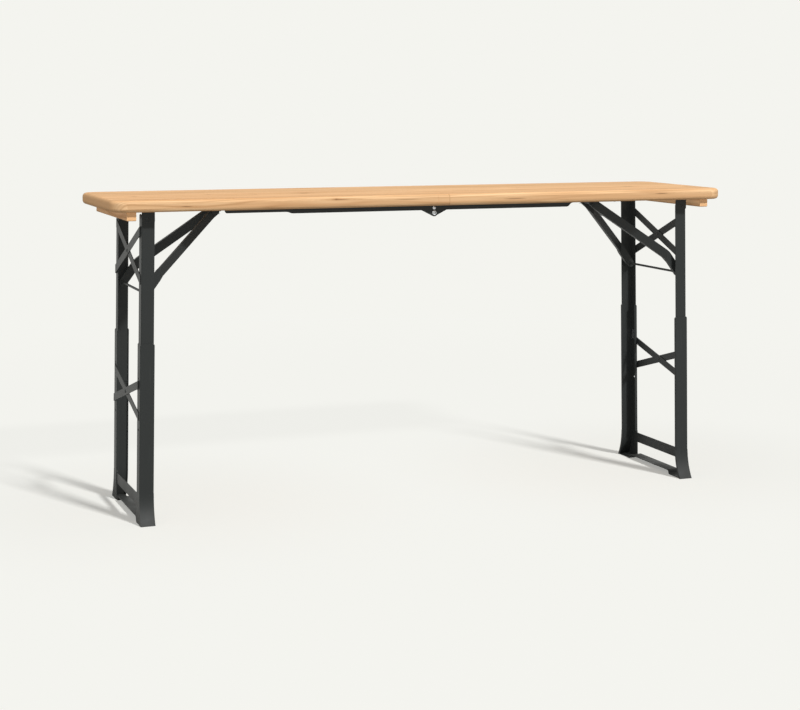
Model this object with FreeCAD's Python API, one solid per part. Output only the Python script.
import FreeCAD, Part
import math
import os

from FreeCAD import Vector

# Folding trestle table: a wooden top in two halves that fold on a pair of steel hinges,
# and two steel leg frames that fold under the top and telescope from standing to sitting height.
# The origin is on the floor under the middle of the top, +X runs along the top and +Z is up.
# Every piece is drawn for the right half (+X) and its rear side (+Y), then mirrored.
# Leg frames are drawn upright, then turned about their pivots to splay outwards a little.
# All lengths are in millimetres.

# Wooden top
TOP_LENGTH = 2190.0
TOP_WIDTH = 570.0
TOP_HEIGHT = 1050.0
TOP_THICKNESS = 38.0
TOP_CORNER_RADIUS = 55.0
TOP_EDGE_RADIUS = 13.0
TOP_SEAM_GAP = 0.6

# Wooden batten across the underside at each end
BATTEN_WIDTH = 30.0
BATTEN_DEPTH = 28.0
BATTEN_SIDE_INSET = 28.0
BATTEN_END_INSET = 51.0
BATTEN_EDGE_RADIUS = 3.0

# Middle hinge, one at the front and one at the rear
HINGE_SETBACK = 40.0
HINGE_PLATE = 3.0
HINGE_REACH = 724.0
HINGE_DEEP_REACH = 494.0
HINGE_STEP_RUN = 26.0
HINGE_DEEP = 16.5
HINGE_SHALLOW = 11.0
HINGE_END_RADIUS = 8.0
HINGE_FLANK = 46.0
HINGE_PIVOT_DROP = 26.0
HINGE_TIP_RADIUS = 12.0
HINGE_STOP_DROP = 9.5
HINGE_STOP_DIAMETER = 8.0
HINGE_STOP_EAR_RADIUS = 8.0
HINGE_STOP_HEAD_DIAMETER = 11.0
HINGE_FLANGE_WIDTH = 20.0
HINGE_FLANGE_PLATE = 2.5
HINGE_FLANGE_START = 24.0
HINGE_RING_DIAMETER = 15.0
HINGE_RING_HEIGHT = 1.6
HINGE_RIVET_DIAMETER = 8.0
HINGE_RIVET_BORE = 5.0

# Upper leg, an angle section with its web facing front or rear and its flange facing the table's end
LEG_END_INSET = 109.0
LEG_SIDE_INSET = 79.0
LEG_WEB = 42.0
LEG_FLANGE = 37.0
LEG_WALL = 2.5
LEG_BEND_RADIUS = 4.0
LEG_OVERLAP = 185.0
LEG_PIVOT_INSET = 19.0
LEG_PIVOT_DROP = 27.5
LEG_SPLAY_ANGLE = 1.04

# Bracket under the top that carries both legs of a frame
BRACKET_WIDTH = 50.0
BRACKET_OVERHANG = 7.0
BRACKET_PLATE = 2.5
BRACKET_EAR_DROP = 12.0
BRACKET_EAR_RADIUS = 8.0
BOLT_DIAMETER = 8.0
BOLT_HEAD_DIAMETER = 15.0
BOLT_HEAD_HEIGHT = 2.5
BOLT_NUT_WIDTH = 13.0
BOLT_NUT_HEIGHT = 6.0

# Crossed bars between the legs
BRACE_PLATE = 2.5
UPPER_BRACE_WIDTH = 27.0
UPPER_BRACE_DROP = 64.5
UPPER_BRACE_FALL = 157.5
LOWER_BRACE_WIDTH = 25.0
LOWER_BRACE_DROP = 133.5
LOWER_BRACE_FALL = 103.0
BRACE_END_INSET = 12.0
BRACE_PAD_SETBACK = 4.0
BRACE_RIVET_DIAMETER = 6.0
BRACE_RIVET_HEAD_DIAMETER = 12.0
BRACE_RIVET_HEAD_HEIGHT = 2.0

# Folding strut, a V of two flat arms from the cross rod up to a catch under the top
ROD_DIAMETER = 8.0
ROD_INSET = 19.0
ROD_DROP = 267.0
SPACER_DIAMETER = 14.0
COLLAR_WIDTH = 3.0
ARM_PLATE = 3.0
ARM_WIDTH = 28.0
ARM_DEPTH = 15.0
ARM_STANDOFF = 17.0
ARM_KINK_REACH = 47.0
ARM_KINK_RISE = 64.0
ARM_PIN_SETBACK = 9.0
HEAD_REACH = 270.5
HEAD_DROP = 17.0
HEAD_THICKNESS = 68.0
HEAD_CHEEK = 5.0
HEAD_TUBE_DIAMETER = 16.0
HEAD_LENGTH = 40.0
HEAD_PIN_DIAMETER = 8.0
HEAD_PIN_LENGTH = 108.0

# Catch bracket under the top that holds the strut's pin
CATCH_PLATE = 2.5
CATCH_CHEEK = 3.0
CATCH_CHEEK_CLEAR_WIDTH = 96.0
CATCH_LENGTH = 30.0
CATCH_BACK = 16.0
CATCH_DEPTH = 26.0
CATCH_BASE_WIDTH = 140.0
CATCH_SLOT_ANGLE = 19.6
SPRING_PLATE = 0.8
SPRING_WIDTH = 12.0
SPRING_OFFSET = 35.0

# Lower leg, a sleeve that wraps the upper leg and flares out into a foot
SLEEVE_WALL = 2.5
SLEEVE_TOP = 586.0
SLEEVE_SHOULDER_RADIUS = 8.0
SLEEVE_WEB_LIP = 9.0
SLEEVE_FLANGE_LIP = 8.0
FOOT_KICK = 29.0
FOOT_KICK_HEIGHT = 100.0
FOOT_TRIM = 1.0
RAIL_PLATE = 2.5
RAIL_CLEAR_HEIGHT = 57.0
RAIL_WIDTH = 36.0
RAIL_FILLET = 8.0
RAIL_LAP = 22.0
TREAD_PLATE = 2.5
TREAD_HEIGHT = 16.5
TREAD_TOE_SETBACK = 8.2
TREAD_RAMP_RUN = 20.0

# Height catch, a spring with a button inside each leg
BUTTON_DIAMETER = 8.0
BUTTON_RISE = 70.0
BUTTON_PAD_LENGTH = 36.0
BUTTON_PAD_WIDTH = 14.0
BUTTON_PAD_PLATE = 1.5
HEIGHT_TRAVEL = 165.0

# Wood screws
SCREW_DIAMETER = 4.0
SCREW_LENGTH = 18.0
SCREW_HEAD_DIAMETER = 8.0
SCREW_HEAD_HEIGHT = 2.2

# Clearances
SLIDE_GAP = 0.3
FACE_GAP = 0.3
RUNNING_GAP = 0.05
SCREW_GAP = 0.1
CUT_OVERRUN = 5.0

# Worked out from the sizes above
UNDERSIDE = TOP_HEIGHT - TOP_THICKNESS
HINGE_Y = TOP_WIDTH / 2 - HINGE_SETBACK - HINGE_PLATE
HINGE_PIVOT_Z = UNDERSIDE - HINGE_PIVOT_DROP
BATTEN_Y = TOP_WIDTH / 2 - BATTEN_SIDE_INSET
LEG_X = TOP_LENGTH / 2 - LEG_END_INSET
LEG_Y = TOP_WIDTH / 2 - LEG_SIDE_INSET
PIVOT_X = LEG_X - LEG_PIVOT_INSET
PIVOT_Z = UNDERSIDE - LEG_PIVOT_DROP
LEG_ARCH_RADIUS = LEG_WEB - LEG_PIVOT_INSET
LEG_END_HEIGHT = SLEEVE_TOP - LEG_OVERLAP
BUTTON_HEIGHT = LEG_END_HEIGHT + BUTTON_RISE
SPLAY = math.radians(LEG_SPLAY_ANGLE)
LEG_ROD_X = LEG_X - ROD_INSET
LEG_ROD_HEIGHT = UNDERSIDE - ROD_DROP
ROD_X = PIVOT_X + (LEG_ROD_X - PIVOT_X) * math.cos(SPLAY) + (PIVOT_Z - LEG_ROD_HEIGHT) * math.sin(SPLAY)
ROD_HEIGHT = PIVOT_Z + (LEG_ROD_X - PIVOT_X) * math.sin(SPLAY) - (PIVOT_Z - LEG_ROD_HEIGHT) * math.cos(SPLAY)
UPPER_BRACE_HIGH = UNDERSIDE - UPPER_BRACE_DROP
UPPER_BRACE_LOW = UPPER_BRACE_HIGH - UPPER_BRACE_FALL
LOWER_BRACE_HIGH = SLEEVE_TOP - LOWER_BRACE_DROP
LOWER_BRACE_LOW = LOWER_BRACE_HIGH - LOWER_BRACE_FALL
WEB_INNER_Y = LEG_Y - LEG_WALL
ARM_Y = WEB_INNER_Y - ARM_STANDOFF
HEAD_X = ROD_X - HEAD_REACH
HEAD_Z = UNDERSIDE - HEAD_DROP
KINK_X = ROD_X - ARM_KINK_REACH
KINK_Z = ROD_HEIGHT + ARM_KINK_RISE
CATCH_TOP = UNDERSIDE - CATCH_PLATE
SLEEVE_X = LEG_X + SLIDE_GAP + SLEEVE_WALL
SLEEVE_Y = LEG_Y + SLIDE_GAP + SLEEVE_WALL
SLEEVE_WEB_END = LEG_X - LEG_WEB - SLIDE_GAP - SLEEVE_WALL
SLEEVE_FLANGE_END = LEG_Y - LEG_FLANGE - SLIDE_GAP - SLEEVE_WALL
SLEEVE_LIP_END = LEG_X - SLEEVE_FLANGE_LIP
SLEEVE_FLANGE_INNER = SLEEVE_X - SLEEVE_WALL
TREAD_HALF_LENGTH = SLEEVE_FLANGE_END - TREAD_TOE_SETBACK - TREAD_RAMP_RUN
FLOOR = -FOOT_TRIM
RAIL_LOW = RAIL_CLEAR_HEIGHT
RAIL_HIGH = RAIL_CLEAR_HEIGHT + RAIL_WIDTH

ORIGIN = Vector(0, 0, 0)
X_AXIS = Vector(1, 0, 0)
Y_AXIS = Vector(0, 1, 0)
Z_AXIS = Vector(0, 0, 1)


def mirror_x(shape):
    """The same piece on the left half."""
    return shape.mirror(ORIGIN, X_AXIS)


def mirror_y(shape):
    """The same piece on the front side."""
    return shape.mirror(ORIGIN, Y_AXIS)


def splayed(shape):
    """The same piece of the right leg frame, turned outwards about the leg pivots."""
    turned = shape.copy()
    turned.rotate(Vector(PIVOT_X, 0, PIVOT_Z), Y_AXIS, -LEG_SPLAY_ANGLE)
    return turned


def standing(shape):
    """A splayed piece of the right foot, trimmed level with the floor."""
    ground = box((0, TOP_LENGTH), (-TOP_WIDTH, TOP_WIDTH), (-FOOT_KICK_HEIGHT, 0))
    return splayed(shape).cut(ground).removeSplitter()


def box(x_ends, y_ends, z_ends):
    """Box between two values on each axis."""
    corner = Vector(min(x_ends), min(y_ends), min(z_ends))
    sizes = [abs(ends[1] - ends[0]) for ends in (x_ends, y_ends, z_ends)]
    return Part.makeBox(*sizes, corner)


def rod_y(radius, x, z, y_ends):
    """Cylinder along Y."""
    length = abs(y_ends[1] - y_ends[0])
    return Part.makeCylinder(radius, length, Vector(x, min(y_ends), z), Y_AXIS)


def rod_x(radius, y, z, x_ends):
    """Cylinder along X."""
    length = abs(x_ends[1] - x_ends[0])
    return Part.makeCylinder(radius, length, Vector(min(x_ends), y, z), X_AXIS)


def prism(points, sweep):
    """Solid from a flat outline of straight lines, swept along a vector."""
    return Part.Face(Part.makePolygon(points + points[:1])).extrude(sweep)


def edge_prism(edges, sweep):
    """Solid from a flat outline of lines and arcs, swept along a vector."""
    return Part.Face(Part.Wire(Part.__sortEdges__(edges))).extrude(sweep)


def line(start, end):
    """Straight edge."""
    return Part.LineSegment(start, end).toShape()


def arc(start, middle, end):
    """Arc edge through three points."""
    return Part.Arc(start, middle, end).toShape()


def upright_edges(shape, x, y):
    """Edges of a shape that stand upright at one place in plan."""
    found = []
    for edge in shape.Edges:
        ends = [vertex.Point for vertex in edge.Vertexes]
        if all(math.hypot(p.x - x, p.y - y) < SLIDE_GAP for p in ends):
            found.append(edge)
    return found


def step_edges(start, end, place):
    """Two tangent arcs that leave and arrive level, from one (run, height) pair to another."""
    run = (end[0] - start[0]) / 2
    rise = (end[1] - start[1]) / 2
    radius = (run * run + rise * rise) / (2 * abs(rise))
    turn = math.asin(abs(run) / radius) / 2
    along = math.copysign(radius * math.sin(turn), run)
    fall = math.copysign(radius * (1 - math.cos(turn)), rise)
    middle = (start[0] + run, start[1] + rise)
    first = arc(place(*start), place(start[0] + along, start[1] + fall), place(*middle))
    second = arc(place(*middle), place(end[0] - along, end[1] - fall), place(*end))
    return [first, second]


def stadium(start, end, radius, y_ends):
    """Slot-shaped plate between two (x, z) centres, swept along Y."""
    run = Vector(end[0] - start[0], 0, end[1] - start[1])
    unit = Vector(run).normalize()
    side = Vector(-unit.z, 0, unit.x) * radius
    tip = unit * radius
    a = Vector(start[0], min(y_ends), start[1])
    b = Vector(end[0], min(y_ends), end[1])
    outline = [
        line(a + side, b + side),
        arc(b + side, b + tip, b - side),
        line(b - side, a - side),
        arc(a - side, a - tip, a + side),
    ]
    return edge_prism(outline, Y_AXIS * abs(y_ends[1] - y_ends[0]))


def screw(x, y, seat_z):
    """Pan-head wood screw driven up from its seat."""
    head = Part.makeCylinder(SCREW_HEAD_DIAMETER / 2, SCREW_HEAD_HEIGHT, Vector(x, y, seat_z - SCREW_HEAD_HEIGHT))
    shank = Part.makeCylinder(SCREW_DIAMETER / 2, SCREW_LENGTH, Vector(x, y, seat_z))
    return head.fuse(shank).removeSplitter()


def screw_hole(x, y, seat_z):
    """Clear hole for one screw, from its seat up."""
    radius = SCREW_DIAMETER / 2 + SCREW_GAP
    return Part.makeCylinder(radius, SCREW_LENGTH + SCREW_GAP, Vector(x, y, seat_z))


def screw_places():
    """Places of the right half's screws as (x, y, seat height), by the piece that each one holds."""
    bracket_seat = UNDERSIDE - BRACKET_PLATE
    bracket_x = [PIVOT_X - BRACKET_WIDTH / 4, PIVOT_X + BRACKET_WIDTH / 4]
    bracket_y = [-LEG_Y / 2, LEG_Y / 2]
    hinge_seat = UNDERSIDE - HINGE_FLANGE_PLATE
    hinge_y = HINGE_Y - HINGE_PLATE - FACE_GAP - HINGE_FLANGE_WIDTH / 2
    hinge_shares = (0.08, 0.36, 0.66, 0.95)
    batten_shares = (-0.8, 0, 0.8)
    batten_x = TOP_LENGTH / 2 - BATTEN_END_INSET - BATTEN_WIDTH / 2
    catch_x = HEAD_X + CATCH_BACK - CATCH_LENGTH / 2
    catch_y = (CATCH_BASE_WIDTH + CATCH_CHEEK_CLEAR_WIDTH + 2 * CATCH_CHEEK) / 4
    return {
        "bracket": [(x, y, bracket_seat) for x in bracket_x for y in bracket_y],
        "hinge": [(share * HINGE_REACH, y, hinge_seat) for share in hinge_shares for y in (-hinge_y, hinge_y)],
        "batten": [(batten_x, share * BATTEN_Y, UNDERSIDE - BATTEN_DEPTH) for share in batten_shares],
        "catch": [(catch_x, y, CATCH_TOP) for y in (-catch_y, catch_y)],
    }


def holes(places):
    """All holes of a list of screws, as one shape."""
    return Part.makeCompound([screw_hole(*place) for place in places])


def batten_screw(x, y, seat_z):
    """Countersunk screw, flush with the batten's lower face and long enough to reach into the top."""
    radius = SCREW_DIAMETER / 2
    head_radius = SCREW_HEAD_DIAMETER / 2
    cone = Part.makeCone(head_radius, radius, SCREW_HEAD_HEIGHT, Vector(x, y, seat_z))
    shank = Part.makeCylinder(radius, BATTEN_DEPTH + SCREW_LENGTH, Vector(x, y, seat_z))
    return cone.fuse(shank).removeSplitter()


def batten_screw_hole(x, y, seat_z):
    """Countersunk hole for one batten screw."""
    radius = SCREW_DIAMETER / 2 + SCREW_GAP
    head_radius = SCREW_HEAD_DIAMETER / 2 + SCREW_GAP
    cone = Part.makeCone(head_radius, radius, SCREW_HEAD_HEIGHT, Vector(x, y, seat_z))
    shank = Part.makeCylinder(radius, BATTEN_DEPTH + SCREW_LENGTH + SCREW_GAP, Vector(x, y, seat_z))
    return cone.fuse(shank)


def top_half():
    """Right half of the wooden top, with round corners at its outer end and eased edges."""
    x0 = TOP_SEAM_GAP / 2
    x1 = TOP_LENGTH / 2
    y1 = TOP_WIDTH / 2
    r = TOP_CORNER_RADIUS
    bend = r * (1 - math.sqrt(0.5))

    def at(x, y):
        return Vector(x, y, UNDERSIDE)

    outline = [
        line(at(x0, -y1), at(x1 - r, -y1)),
        arc(at(x1 - r, -y1), at(x1 - bend, -y1 + bend), at(x1, -y1 + r)),
        line(at(x1, -y1 + r), at(x1, y1 - r)),
        arc(at(x1, y1 - r), at(x1 - bend, y1 - bend), at(x1 - r, y1)),
        line(at(x1 - r, y1), at(x0, y1)),
        line(at(x0, y1), at(x0, -y1)),
    ]
    board = edge_prism(outline, Z_AXIS * TOP_THICKNESS)
    rims = []
    for edge in board.Edges:
        box_ = edge.BoundBox
        level = box_.ZLength < FACE_GAP
        at_seam = box_.XMax < x0 + FACE_GAP
        if level and not at_seam:
            rims.append(edge)
    board = board.makeFillet(min(TOP_EDGE_RADIUS, TOP_THICKNESS * 0.4), rims)
    places = screw_places()
    plain = places["bracket"] + places["hinge"] + places["catch"]
    board = board.cut(holes(plain))
    return board.cut(Part.makeCompound([batten_screw_hole(*place) for place in places["batten"]]))


def end_batten():
    """Wooden batten across the underside near the outer end."""
    x1 = TOP_LENGTH / 2 - BATTEN_END_INSET
    z_ends = (UNDERSIDE - BATTEN_DEPTH, UNDERSIDE)
    bar = box((x1 - BATTEN_WIDTH, x1), (-BATTEN_Y, BATTEN_Y), z_ends)
    lower = [edge for edge in bar.Edges if edge.BoundBox.ZMax < UNDERSIDE - BATTEN_DEPTH / 2]
    bar = bar.makeFillet(BATTEN_EDGE_RADIUS, lower)
    return bar.cut(Part.makeCompound([batten_screw_hole(*place) for place in screw_places()["batten"]]))


def hinge_outline(end_face, layer, shallow):
    """Edge-on plate of one hinge arm, from its end face at the seam out along the top."""

    def at(x, drop):
        return Vector(x, layer, UNDERSIDE - drop)

    # The flank runs from the deep strip to touch the round tip under the pivot
    reach = math.hypot(HINGE_FLANK, HINGE_PIVOT_DROP - HINGE_DEEP)
    lean = math.atan2(HINGE_PIVOT_DROP - HINGE_DEEP, HINGE_FLANK)
    swing = math.acos(HINGE_TIP_RADIUS / reach) - lean
    touch_x = HINGE_TIP_RADIUS * math.cos(swing)
    touch_drop = HINGE_PIVOT_DROP + HINGE_TIP_RADIUS * math.sin(swing)
    step_start = (HINGE_DEEP_REACH, HINGE_DEEP)
    step_end = (HINGE_DEEP_REACH + HINGE_STEP_RUN, shallow)
    r = min(HINGE_END_RADIUS, shallow * 0.8)
    bend = r * (1 - math.sqrt(0.5))
    outline = [
        line(at(end_face, 0), at(HINGE_REACH, 0)),
        line(at(HINGE_REACH, 0), at(HINGE_REACH, shallow - r)),
        arc(at(HINGE_REACH, shallow - r), at(HINGE_REACH - bend, shallow - bend), at(HINGE_REACH - r, shallow)),
        line(at(HINGE_REACH - r, shallow), at(*step_end)),
        line(at(*step_start), at(HINGE_FLANK, HINGE_DEEP)),
        line(at(HINGE_FLANK, HINGE_DEEP), at(touch_x, touch_drop)),
        line(at(touch_x, touch_drop), at(end_face, HINGE_PIVOT_DROP)),
        line(at(end_face, HINGE_PIVOT_DROP), at(end_face, 0)),
    ]
    outline += step_edges(step_end, step_start, at)
    plate = edge_prism(outline, Y_AXIS * HINGE_PLATE)
    return plate.fuse(rod_y(HINGE_TIP_RADIUS, 0, HINGE_PIVOT_Z, (layer, layer + HINGE_PLATE)))


def hinge_arm(layer, end_face, shallow, bore_gap, with_stop_ear):
    """One arm of the rear hinge: the plate on edge and a flange that is screwed to the top."""
    y_ends = (layer, layer + HINGE_PLATE)
    stop_z = UNDERSIDE - HINGE_STOP_DROP
    arm = hinge_outline(end_face, layer, shallow)
    if with_stop_ear:
        arm = arm.fuse(rod_y(HINGE_STOP_EAR_RADIUS, 0, stop_z, y_ends))
        arm = arm.fuse(box((0, HINGE_STOP_EAR_RADIUS), y_ends, (stop_z, HINGE_PIVOT_Z)))
    inner = HINGE_Y - HINGE_PLATE - FACE_GAP - HINGE_FLANGE_WIDTH
    flange_z = (UNDERSIDE - HINGE_FLANGE_PLATE, UNDERSIDE)
    arm = arm.fuse(box((HINGE_FLANGE_START, HINGE_REACH), (inner, layer), flange_z))
    arm = arm.cut(rod_y(HINGE_RIVET_DIAMETER / 2 + bore_gap, 0, HINGE_PIVOT_Z, y_ends))
    if with_stop_ear:
        arm = arm.cut(rod_y(HINGE_STOP_DIAMETER / 2, 0, stop_z, y_ends))
    return arm.cut(holes(screw_places()["hinge"])).removeSplitter()


def hinge_arm_right():
    """Rear arm on the right half. It turns on the pivot, closes against the stop and thins out to its flange."""
    layer = HINGE_Y - HINGE_PLATE - FACE_GAP
    end_face = HINGE_STOP_DIAMETER / 2 + FACE_GAP
    return hinge_arm(layer, end_face, HINGE_FLANGE_PLATE, RUNNING_GAP, False)


def hinge_arm_left():
    """Rear arm on the left half. It holds the pivot and the stop."""
    return mirror_x(hinge_arm(HINGE_Y, TOP_SEAM_GAP / 2, HINGE_SHALLOW, 0, True))


def hinge_pivot():
    """Hollow rivet of the rear hinge, with a ring-shaped head on each side."""
    inner = HINGE_Y - HINGE_PLATE - 2 * FACE_GAP
    outer = HINGE_Y + HINGE_PLATE
    ends = (inner - HINGE_RING_HEIGHT, outer + HINGE_RING_HEIGHT)
    rivet = rod_y(HINGE_RIVET_DIAMETER / 2, 0, HINGE_PIVOT_Z, ends)
    for face, back in ((outer, ends[1]), (inner, ends[0])):
        rivet = rivet.fuse(rod_y(HINGE_RING_DIAMETER / 2, 0, HINGE_PIVOT_Z, (face, back)))
    return rivet.cut(rod_y(HINGE_RIVET_BORE / 2, 0, HINGE_PIVOT_Z, ends)).removeSplitter()


def hinge_stop():
    """Stop rivet of the rear hinge, headed on the outside and standing across both arms."""
    stop_z = UNDERSIDE - HINGE_STOP_DROP
    outer = HINGE_Y + HINGE_PLATE
    shank = rod_y(HINGE_STOP_DIAMETER / 2, 0, stop_z, (HINGE_Y - HINGE_PLATE - FACE_GAP, outer))
    head = rod_y(HINGE_STOP_HEAD_DIAMETER / 2, 0, stop_z, (outer, outer + HINGE_RING_HEIGHT))
    return shank.fuse(head).removeSplitter()


def leg_bracket():
    """Plate under the top with an ear on the outside of each leg."""
    half = LEG_Y + BRACKET_OVERHANG
    z_ends = (UNDERSIDE - BRACKET_PLATE, UNDERSIDE)
    x_ends = (PIVOT_X - BRACKET_WIDTH / 2, PIVOT_X + BRACKET_WIDTH / 2)
    bracket = box(x_ends, (-half, half), z_ends)
    y_inner = LEG_Y + FACE_GAP
    y_ends = (y_inner, y_inner + BRACKET_PLATE)
    low = PIVOT_Z - BRACKET_EAR_DROP
    ear = box((LEG_X - LEG_WEB, LEG_X), y_ends, (low, UNDERSIDE))
    corners = [edge for edge in ear.Edges if edge.BoundBox.ZMax < PIVOT_Z and edge.BoundBox.XLength < FACE_GAP]
    ear = ear.makeFillet(BRACKET_EAR_RADIUS, corners)
    ear = ear.cut(rod_y(BOLT_DIAMETER / 2, PIVOT_X, PIVOT_Z, y_ends))
    bracket = bracket.fuse([ear, mirror_y(ear)])
    return bracket.cut(holes(screw_places()["bracket"])).removeSplitter()


def leg_pivot_bolt():
    """Bolt that a rear leg turns on, with its head outside the ear and its nut inside the leg."""
    face = LEG_Y + FACE_GAP + BRACKET_PLATE
    nut_face = WEB_INNER_Y - FACE_GAP
    bolt = rod_y(BOLT_DIAMETER / 2, PIVOT_X, PIVOT_Z, (nut_face - BOLT_NUT_HEIGHT, face))
    head = rod_y(BOLT_HEAD_DIAMETER / 2, PIVOT_X, PIVOT_Z, (face, face + BOLT_HEAD_HEIGHT))
    rim = [edge for edge in head.Edges if edge.BoundBox.YMin > face + BOLT_HEAD_HEIGHT / 2]
    head = head.makeChamfer(BOLT_HEAD_HEIGHT / 3, rim)
    sides = 6
    corner = BOLT_NUT_WIDTH / 2 / math.cos(math.pi / sides)
    points = []
    for index in range(sides):
        angle = 2 * math.pi * index / sides
        offset = Vector(corner * math.cos(angle), 0, corner * math.sin(angle))
        points.append(Vector(PIVOT_X, nut_face - BOLT_NUT_HEIGHT, PIVOT_Z) + offset)
    nut = prism(points, Y_AXIS * BOLT_NUT_HEIGHT)
    return bolt.fuse([head, nut]).removeSplitter()


def upper_leg():
    """Rear upper leg, an angle with a round head at its pivot and holes for the rod and the height button."""
    z_ends = (LEG_END_HEIGHT, PIVOT_Z + LEG_ARCH_RADIUS)
    points = [
        Vector(LEG_X, LEG_Y, z_ends[0]),
        Vector(LEG_X - LEG_WEB, LEG_Y, z_ends[0]),
        Vector(LEG_X - LEG_WEB, LEG_Y - LEG_WALL, z_ends[0]),
        Vector(LEG_X - LEG_WALL, LEG_Y - LEG_WALL, z_ends[0]),
        Vector(LEG_X - LEG_WALL, LEG_Y - LEG_FLANGE, z_ends[0]),
        Vector(LEG_X, LEG_Y - LEG_FLANGE, z_ends[0]),
    ]
    leg = prism(points, Z_AXIS * (z_ends[1] - z_ends[0]))
    leg = leg.makeFillet(LEG_BEND_RADIUS, upright_edges(leg, LEG_X, LEG_Y))
    y_ends = (LEG_Y - LEG_FLANGE, LEG_Y)
    shaft = box((LEG_X - LEG_WEB, LEG_X), y_ends, (LEG_END_HEIGHT, PIVOT_Z))
    leg = leg.common(shaft.fuse(rod_y(LEG_ARCH_RADIUS, PIVOT_X, PIVOT_Z, y_ends)))
    leg = leg.cut(rod_y(BOLT_DIAMETER / 2 + RUNNING_GAP, PIVOT_X, PIVOT_Z, (WEB_INNER_Y, LEG_Y)))
    leg = leg.cut(rod_y(ROD_DIAMETER / 2, LEG_ROD_X, LEG_ROD_HEIGHT, (WEB_INNER_Y, LEG_Y)))
    button = rod_x(BUTTON_DIAMETER / 2, button_y(), BUTTON_HEIGHT, (LEG_X - LEG_WALL, LEG_X))
    return leg.cut(button).removeSplitter()


def button_y():
    """Middle of the leg's flange, where the height button sits."""
    return LEG_Y - LEG_FLANGE / 2


def height_catch():
    """Height button and its spring pad on the rear leg's flange, drawn pressed in, level with the flange."""
    inner = LEG_X - LEG_WALL
    y = button_y()
    button = rod_x(BUTTON_DIAMETER / 2, y, BUTTON_HEIGHT, (inner, LEG_X))
    y_ends = (y - BUTTON_PAD_WIDTH / 2, y + BUTTON_PAD_WIDTH / 2)
    z_ends = (BUTTON_HEIGHT - BUTTON_PAD_LENGTH / 2, BUTTON_HEIGHT + BUTTON_PAD_LENGTH / 2)
    pad = box((inner - BUTTON_PAD_PLATE, inner), y_ends, z_ends)
    return button.fuse(pad).removeSplitter()


def brace(low, high, width, x, y_end):
    """Flat bar across the frame, low at the front and high at the rear, with its inner face at a given X."""
    rise = math.atan2(high - low, 2 * y_end)
    half = width / 2 / math.cos(rise)
    points = [
        Vector(x, -y_end, low - half),
        Vector(x, y_end, high - half),
        Vector(x, y_end, high + half),
        Vector(x, -y_end, low + half),
    ]
    bar = prism(points, X_AXIS * BRACE_PLATE)
    return bar.cut(rod_x(BRACE_RIVET_DIAMETER / 2, 0, (low + high) / 2, (x, x + BRACE_PLATE)))


def padded_brace(low, high, width, x, y_end, y_flange):
    """Bar that crosses outside another one, with a pad at each end that fills the gap to the legs' flanges."""
    y_start = y_flange + BRACE_PAD_SETBACK
    ends = box((x, x + BRACE_PLATE), (y_start, y_end), (0, UNDERSIDE))
    pads = brace(low, high, width, x, y_end).common(Part.makeCompound([ends, mirror_y(ends)]))
    return brace(low, high, width, x + BRACE_PLATE, y_end).fuse(pads.Solids).removeSplitter()


def brace_rivet(low, high, x):
    """Rivet where two crossed bars meet, the inner one with its inner face at a given X."""
    outer = x + 2 * BRACE_PLATE
    z = (low + high) / 2
    rivet = rod_x(BRACE_RIVET_DIAMETER / 2, 0, z, (x, outer))
    for face, back in ((outer, outer + BRACE_RIVET_HEAD_HEIGHT), (x, x - BRACE_RIVET_HEAD_HEIGHT)):
        rivet = rivet.fuse(rod_x(BRACE_RIVET_HEAD_DIAMETER / 2, 0, z, (face, back)))
    return rivet.removeSplitter()


def strut_rod():
    """Thin rod across the frame that the strut turns on, flush with both legs."""
    return rod_y(ROD_DIAMETER / 2, ROD_X, ROD_HEIGHT, (-LEG_Y, LEG_Y))


def rod_spacers():
    """Bushes and collars that keep both strut arms in place on the rod."""
    arm_outer = ARM_Y + ARM_PLATE / 2 + FACE_GAP
    arm_inner = ARM_Y + ARM_PLATE / 2 - ARM_DEPTH - FACE_GAP
    solids = []
    for y_ends in ((arm_outer, WEB_INNER_Y), (arm_inner - COLLAR_WIDTH, arm_inner)):
        bush = rod_y(SPACER_DIAMETER / 2, ROD_X, ROD_HEIGHT, y_ends)
        bush = bush.cut(rod_y(ROD_DIAMETER / 2, ROD_X, ROD_HEIGHT, y_ends))
        solids += [bush, mirror_y(bush)]
    return Part.makeCompound(solids)


def arm_plan(outer, inner):
    """Plan of the rear arm between two offsets from its middle line, along the leg and then across to the head."""
    run = KINK_X - HEAD_X - ARM_PIN_SETBACK
    lean = math.atan2(ARM_Y - HEAD_THICKNESS / 2, run)
    bend = math.tan(lean / 2)
    past = Vector(-math.cos(lean), -math.sin(lean), 0) * ((run + ARM_WIDTH) / math.cos(lean))
    start = ROD_X + ARM_WIDTH
    points = [
        Vector(start, ARM_Y + outer, 0),
        Vector(KINK_X - outer * bend, ARM_Y + outer, 0),
        Vector(KINK_X - outer * bend, ARM_Y + outer, 0) + past,
        Vector(KINK_X + inner * bend, ARM_Y - inner, 0) + past,
        Vector(KINK_X + inner * bend, ARM_Y - inner, 0),
        Vector(start, ARM_Y - inner, 0),
    ]
    return prism(points, Z_AXIS * UNDERSIDE)


def strut_side(radius, y_ends):
    """Side outline of the strut above its kink, round at both ends."""
    return stadium((KINK_X, KINK_Z), (HEAD_X, HEAD_Z), radius, y_ends)


def arm_side(radius, y_ends):
    """Side outline of an arm, steeper below its kink."""
    return strut_side(radius, y_ends).fuse(stadium((ROD_X, ROD_HEIGHT), (KINK_X, KINK_Z), radius, y_ends))


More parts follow.
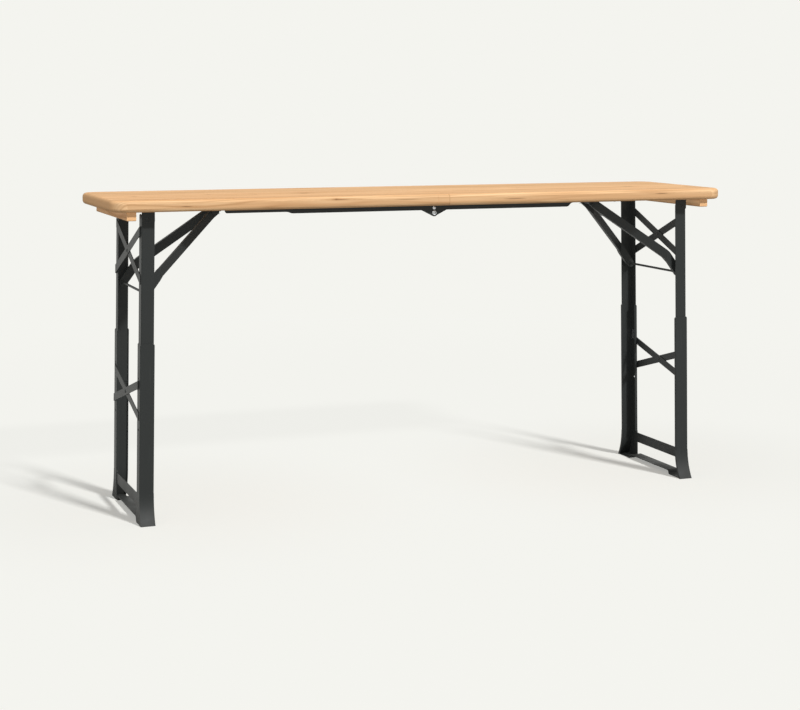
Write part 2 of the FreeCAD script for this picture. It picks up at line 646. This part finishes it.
def strut_arm():
    """Rear arm of the strut: a box tube, bored to turn on the rod."""
    y_ends = (HEAD_THICKNESS / 2, ARM_Y + ARM_PLATE)
    half = ARM_PLATE / 2
    arm = arm_side(ARM_WIDTH / 2, y_ends).common(arm_plan(half, ARM_DEPTH - half))
    arm = arm.cut(arm_side(ARM_WIDTH / 2 - ARM_PLATE, y_ends).common(arm_plan(-half, ARM_DEPTH - half - ARM_PLATE)))
    return arm.cut(rod_y(ROD_DIAMETER / 2 + RUNNING_GAP, ROD_X, ROD_HEIGHT, y_ends)).removeSplitter()


def strut_head():
    """Head of the strut: a tube for the pin, between two cheeks that the arms are welded to."""
    outer = HEAD_THICKNESS / 2
    window = box((HEAD_X - ARM_WIDTH, HEAD_X + HEAD_LENGTH), (-outer, outer), (ROD_HEIGHT, UNDERSIDE))
    cheek = strut_side(ARM_WIDTH / 2, (outer - HEAD_CHEEK, outer)).common(window)
    head = rod_y(HEAD_TUBE_DIAMETER / 2, HEAD_X, HEAD_Z, (-outer, outer)).fuse([cheek, mirror_y(cheek)])
    return head.cut(rod_y(HEAD_PIN_DIAMETER / 2, HEAD_X, HEAD_Z, (-outer, outer))).removeSplitter()


def strut_pin():
    """Pin through the strut's head that sits in the catch."""
    half = HEAD_PIN_LENGTH / 2
    pin = rod_y(HEAD_PIN_DIAMETER / 2, HEAD_X, HEAD_Z, (-half, half))
    rims = [edge for edge in pin.Edges if edge.BoundBox.YLength < FACE_GAP]
    return pin.makeChamfer(HEAD_PIN_DIAMETER / 8, rims)


def strut_catch():
    """Bracket under the top whose two cheeks are notched towards the middle for the strut's pin."""
    x_ends = (HEAD_X + CATCH_BACK - CATCH_LENGTH, HEAD_X + CATCH_BACK)
    half = CATCH_BASE_WIDTH / 2
    bracket = box(x_ends, (-half, half), (CATCH_TOP, UNDERSIDE))
    inner = CATCH_CHEEK_CLEAR_WIDTH / 2
    for sign in (-1, 1):
        y_ends = (sign * inner, sign * (inner + CATCH_CHEEK))
        bracket = bracket.fuse(box(x_ends, y_ends, (UNDERSIDE - CATCH_DEPTH, CATCH_TOP)))
    slope = math.radians(CATCH_SLOT_ANGLE)
    mouth = (HEAD_X - CATCH_LENGTH * math.cos(slope), HEAD_Z - CATCH_LENGTH * math.sin(slope))
    slot = stadium((HEAD_X, HEAD_Z), mouth, HEAD_PIN_DIAMETER / 2 + FACE_GAP, (-half, half))
    return bracket.cut(slot).cut(holes(screw_places()["catch"])).removeSplitter()


def catch_springs():
    """Two leaf springs between the catch's plate and the pin."""
    low = HEAD_Z + HEAD_PIN_DIAMETER / 2 + FACE_GAP
    drop = CATCH_TOP - low
    centre_line = [
        (HEAD_X + CATCH_BACK, CATCH_TOP),
        (HEAD_X + CATCH_BACK / 2, CATCH_TOP),
        (HEAD_X, low + SPRING_PLATE),
        (HEAD_X - CATCH_BACK / 2, low + SPRING_PLATE + drop / 4),
    ]
    upper = [Vector(x, SPRING_OFFSET, z) for x, z in centre_line]
    lower = [Vector(x, SPRING_OFFSET, z - SPRING_PLATE) for x, z in reversed(centre_line)]
    leaf = prism(upper + lower, Y_AXIS * SPRING_WIDTH)
    return Part.makeCompound([leaf, mirror_y(leaf)])


def lower_leg():
    """Rear lower leg: the sleeve with its lips, the height-button holes and the flared foot."""
    base = FOOT_KICK_HEIGHT

    def at(x, y):
        return Vector(x, y, base)

    points = [
        at(SLEEVE_WEB_END, SLEEVE_Y),
        at(SLEEVE_X, SLEEVE_Y),
        at(SLEEVE_X, SLEEVE_FLANGE_END),
        at(SLEEVE_LIP_END, SLEEVE_FLANGE_END),
        at(SLEEVE_LIP_END, SLEEVE_FLANGE_END + SLEEVE_WALL),
        at(SLEEVE_FLANGE_INNER, SLEEVE_FLANGE_END + SLEEVE_WALL),
        at(SLEEVE_FLANGE_INNER, SLEEVE_Y - SLEEVE_WALL),
        at(SLEEVE_WEB_END + SLEEVE_WALL, SLEEVE_Y - SLEEVE_WALL),
        at(SLEEVE_WEB_END + SLEEVE_WALL, SLEEVE_Y - SLEEVE_WEB_LIP),
        at(SLEEVE_WEB_END, SLEEVE_Y - SLEEVE_WEB_LIP),
    ]
    sleeve = prism(points, Z_AXIS * (SLEEVE_TOP - base))
    bends = [(SLEEVE_X, SLEEVE_Y), (SLEEVE_WEB_END, SLEEVE_Y), (SLEEVE_X, SLEEVE_FLANGE_END)]
    for x, y in bends:
        sleeve = sleeve.makeFillet(min(LEG_BEND_RADIUS, SLEEVE_WALL), upright_edges(sleeve, x, y))
    sleeve = sleeve.common(shoulder_prism())
    for height in (BUTTON_HEIGHT, BUTTON_HEIGHT - HEIGHT_TRAVEL):
        radius = BUTTON_DIAMETER / 2 + FACE_GAP
        sleeve = sleeve.cut(rod_x(radius, button_y(), height, (SLEEVE_FLANGE_INNER, SLEEVE_X)))
    web = foot_sheet(SLEEVE_WALL, SLEEVE_X - SLEEVE_WEB_END)
    lip = foot_sheet(SLEEVE_WEB_LIP, SLEEVE_WALL)
    return sleeve.fuse([web, lip, foot_flange()]).removeSplitter()


def shoulder_prism():
    """Outline of the sleeve seen from the rear, with round shoulders at its top."""
    r = SLEEVE_SHOULDER_RADIUS
    bend = r * (1 - math.sqrt(0.5))
    x0, x1, z1 = SLEEVE_WEB_END, SLEEVE_X, SLEEVE_TOP

    def at(x, z):
        return Vector(x, SLEEVE_FLANGE_END, z)

    outline = [
        line(at(x0, FOOT_KICK_HEIGHT), at(x1, FOOT_KICK_HEIGHT)),
        line(at(x1, FOOT_KICK_HEIGHT), at(x1, z1 - r)),
        arc(at(x1, z1 - r), at(x1 - bend, z1 - bend), at(x1 - r, z1)),
        line(at(x1 - r, z1), at(x0 + r, z1)),
        arc(at(x0 + r, z1), at(x0 + bend, z1 - bend), at(x0, z1 - r)),
        line(at(x0, z1 - r), at(x0, FOOT_KICK_HEIGHT)),
    ]
    return edge_prism(outline, Y_AXIS * (SLEEVE_Y - SLEEVE_FLANGE_END))


def kick_radius():
    """Radius of the foot's outer face."""
    return (FOOT_KICK ** 2 + FOOT_KICK_HEIGHT ** 2) / (2 * FOOT_KICK)


def kick_y(inset, height):
    """Where the flared web lies at a height, a given way in from its outer face."""
    radius = kick_radius() + inset
    fall = FOOT_KICK_HEIGHT - height
    return SLEEVE_Y + kick_radius() - math.sqrt(radius ** 2 - fall ** 2)


def kick_arc(x, inset):
    """Curved edge of the flared web from the sleeve down to the floor."""
    heights = (FOOT_KICK_HEIGHT, FOOT_KICK_HEIGHT / 2, FLOOR)
    return arc(*[Vector(x, kick_y(inset, height), height) for height in heights])


def foot_sheet(depth, width):
    """Flared sheet of a given depth behind the foot's outer face, from the web's edge across a given width."""
    x = SLEEVE_WEB_END
    top = [Vector(x, kick_y(inset, FOOT_KICK_HEIGHT), FOOT_KICK_HEIGHT) for inset in (0, depth)]
    floor = [Vector(x, kick_y(inset, FLOOR), FLOOR) for inset in (0, depth)]
    outline = [kick_arc(x, 0), line(floor[0], floor[1]), kick_arc(x, depth), line(top[1], top[0])]
    return edge_prism(outline, X_AXIS * width)


def foot_flange():
    """Flared lower end of the flange, which reaches out to the web."""
    x = SLEEVE_FLANGE_INNER
    inner = SLEEVE_FLANGE_END
    outline = [
        kick_arc(x, 0),
        line(Vector(x, kick_y(0, FLOOR), FLOOR), Vector(x, inner, FLOOR)),
        line(Vector(x, inner, FLOOR), Vector(x, inner, FOOT_KICK_HEIGHT)),
        line(Vector(x, inner, FOOT_KICK_HEIGHT), Vector(x, SLEEVE_Y, FOOT_KICK_HEIGHT)),
    ]
    return edge_prism(outline, X_AXIS * SLEEVE_WALL)


def foot_rail():
    """Upright rail between the feet, lapped on the inside of both flanges, with hollow corners."""
    x = SLEEVE_FLANGE_INNER - RAIL_PLATE
    r = RAIL_FILLET
    bend = r * (1 - math.sqrt(0.5))
    inner = SLEEVE_FLANGE_END - r
    outer = SLEEVE_FLANGE_END
    end = SLEEVE_FLANGE_END + RAIL_LAP

    def at(y, z):
        return Vector(x, y, z)

    outline = [line(at(-inner, RAIL_LOW), at(inner, RAIL_LOW)), line(at(-inner, RAIL_HIGH), at(inner, RAIL_HIGH))]
    for sign in (-1, 1):
        for z, away in ((RAIL_LOW, -1), (RAIL_HIGH, 1)):
            wide = z + away * r
            outline.append(arc(at(sign * inner, z), at(sign * (outer - bend), z + away * bend), at(sign * outer, wide)))
            outline.append(line(at(sign * outer, wide), at(sign * end, wide)))
        outline.append(line(at(sign * end, RAIL_LOW - r), at(sign * end, RAIL_HIGH + r)))
    return edge_prism(outline, X_AXIS * RAIL_PLATE)


def foot_tread():
    """Flat tread between the feet, raised off the floor and bent down to a sole inside each foot."""
    x = SLEEVE_WEB_END + SLEEVE_WALL
    sole = FLOOR + TREAD_PLATE
    sole_end = kick_y(SLEEVE_WALL, sole) - FACE_GAP
    ramp_end = TREAD_HALF_LENGTH + TREAD_RAMP_RUN
    under = TREAD_HEIGHT - TREAD_PLATE
    outline = []
    for sign in (-1, 1):

        def at(y, z, sign=sign):
            return Vector(x, sign * y, z)

        outline += step_edges((TREAD_HALF_LENGTH, TREAD_HEIGHT), (ramp_end, sole), at)
        outline += step_edges((TREAD_HALF_LENGTH, under), (ramp_end, FLOOR), at)
        outline += [
            line(at(ramp_end, sole), at(sole_end, sole)),
            line(at(sole_end, sole), at(sole_end, FLOOR)),
            line(at(sole_end, FLOOR), at(ramp_end, FLOOR)),
        ]
    for z in (TREAD_HEIGHT, under):
        outline.append(line(Vector(x, -TREAD_HALF_LENGTH, z), Vector(x, TREAD_HALF_LENGTH, z)))
    return edge_prism(outline, X_AXIS * (SLEEVE_FLANGE_INNER - x))


def half_screws():
    """All wood screws of the right half."""
    places = screw_places()
    plain = places["bracket"] + places["hinge"] + places["catch"]
    solids = [screw(*place) for place in plain]
    return Part.makeCompound(solids + [batten_screw(*place) for place in places["batten"]])


def front_and_rear(shape):
    """A rear piece and its front copy, as a group of two solids."""
    return Part.makeCompound([shape, mirror_y(shape)])


def right_side():
    """Every piece of the right half by its plain name, without the hinge arms."""
    upper = (UPPER_BRACE_LOW, UPPER_BRACE_HIGH, UPPER_BRACE_WIDTH)
    lower = (LOWER_BRACE_LOW, LOWER_BRACE_HIGH, LOWER_BRACE_WIDTH)
    y_end = LEG_Y - BRACE_END_INSET
    upper_bar = brace(*upper, LEG_X, y_end)
    upper_bar_crossed = mirror_y(padded_brace(*upper, LEG_X, y_end, LEG_Y - LEG_FLANGE))
    lower_bar = brace(*lower, SLEEVE_X, y_end)
    lower_bar_crossed = mirror_y(padded_brace(*lower, SLEEVE_X, y_end, SLEEVE_FLANGE_END))
    return {
        "top_half": top_half(),
        "end_batten": end_batten(),
        "leg_bracket": leg_bracket(),
        "leg_pivot_bolts": front_and_rear(leg_pivot_bolt()),
        "strut_catch": strut_catch(),
        "catch_springs": catch_springs(),
        "wood_screws": half_screws(),
        "front_upper_leg": splayed(mirror_y(upper_leg())),
        "rear_upper_leg": splayed(upper_leg()),
        "upper_brace_inner": splayed(upper_bar),
        "upper_brace_outer": splayed(upper_bar_crossed),
        "upper_brace_rivet": splayed(brace_rivet(UPPER_BRACE_LOW, UPPER_BRACE_HIGH, LEG_X)),
        "strut_rod": strut_rod(),
        "rod_spacers": rod_spacers(),
        "height_buttons": splayed(front_and_rear(height_catch())),
        "front_strut_arm": mirror_y(strut_arm()),
        "rear_strut_arm": strut_arm(),
        "strut_head": strut_head(),
        "strut_pin": strut_pin(),
        "front_lower_leg": standing(mirror_y(lower_leg())),
        "rear_lower_leg": standing(lower_leg()),
        "lower_brace_inner": splayed(lower_bar),
        "lower_brace_outer": splayed(lower_bar_crossed),
        "lower_brace_rivet": splayed(brace_rivet(LOWER_BRACE_LOW, LOWER_BRACE_HIGH, SLEEVE_X)),
        "foot_rail": splayed(foot_rail()),
        "foot_tread": standing(foot_tread()),
    }


def table():
    """Every node of the table by name."""
    nodes = {}
    for name, shape in right_side().items():
        nodes["right_" + name] = shape
        nodes["left_" + name] = mirror_x(shape)
    nodes["left_rear_hinge_arm"] = hinge_arm_left()
    nodes["left_front_hinge_arm"] = mirror_y(hinge_arm_left())
    nodes["right_rear_hinge_arm"] = hinge_arm_right()
    nodes["right_front_hinge_arm"] = mirror_y(hinge_arm_right())
    nodes["rear_hinge_pivot"] = hinge_pivot()
    nodes["front_hinge_pivot"] = mirror_y(hinge_pivot())
    nodes["hinge_stops"] = front_and_rear(hinge_stop())
    return nodes


def main():
    """Write one file per node."""
    os.makedirs("parts", exist_ok=True)
    for name, shape in table().items():
        for solid in shape.Solids:
            if not solid.isValid():
                print("not valid:", name)
        shape.exportStep("parts/" + name + ".step")
        print(name, len(shape.Solids), round(shape.Volume))


main()
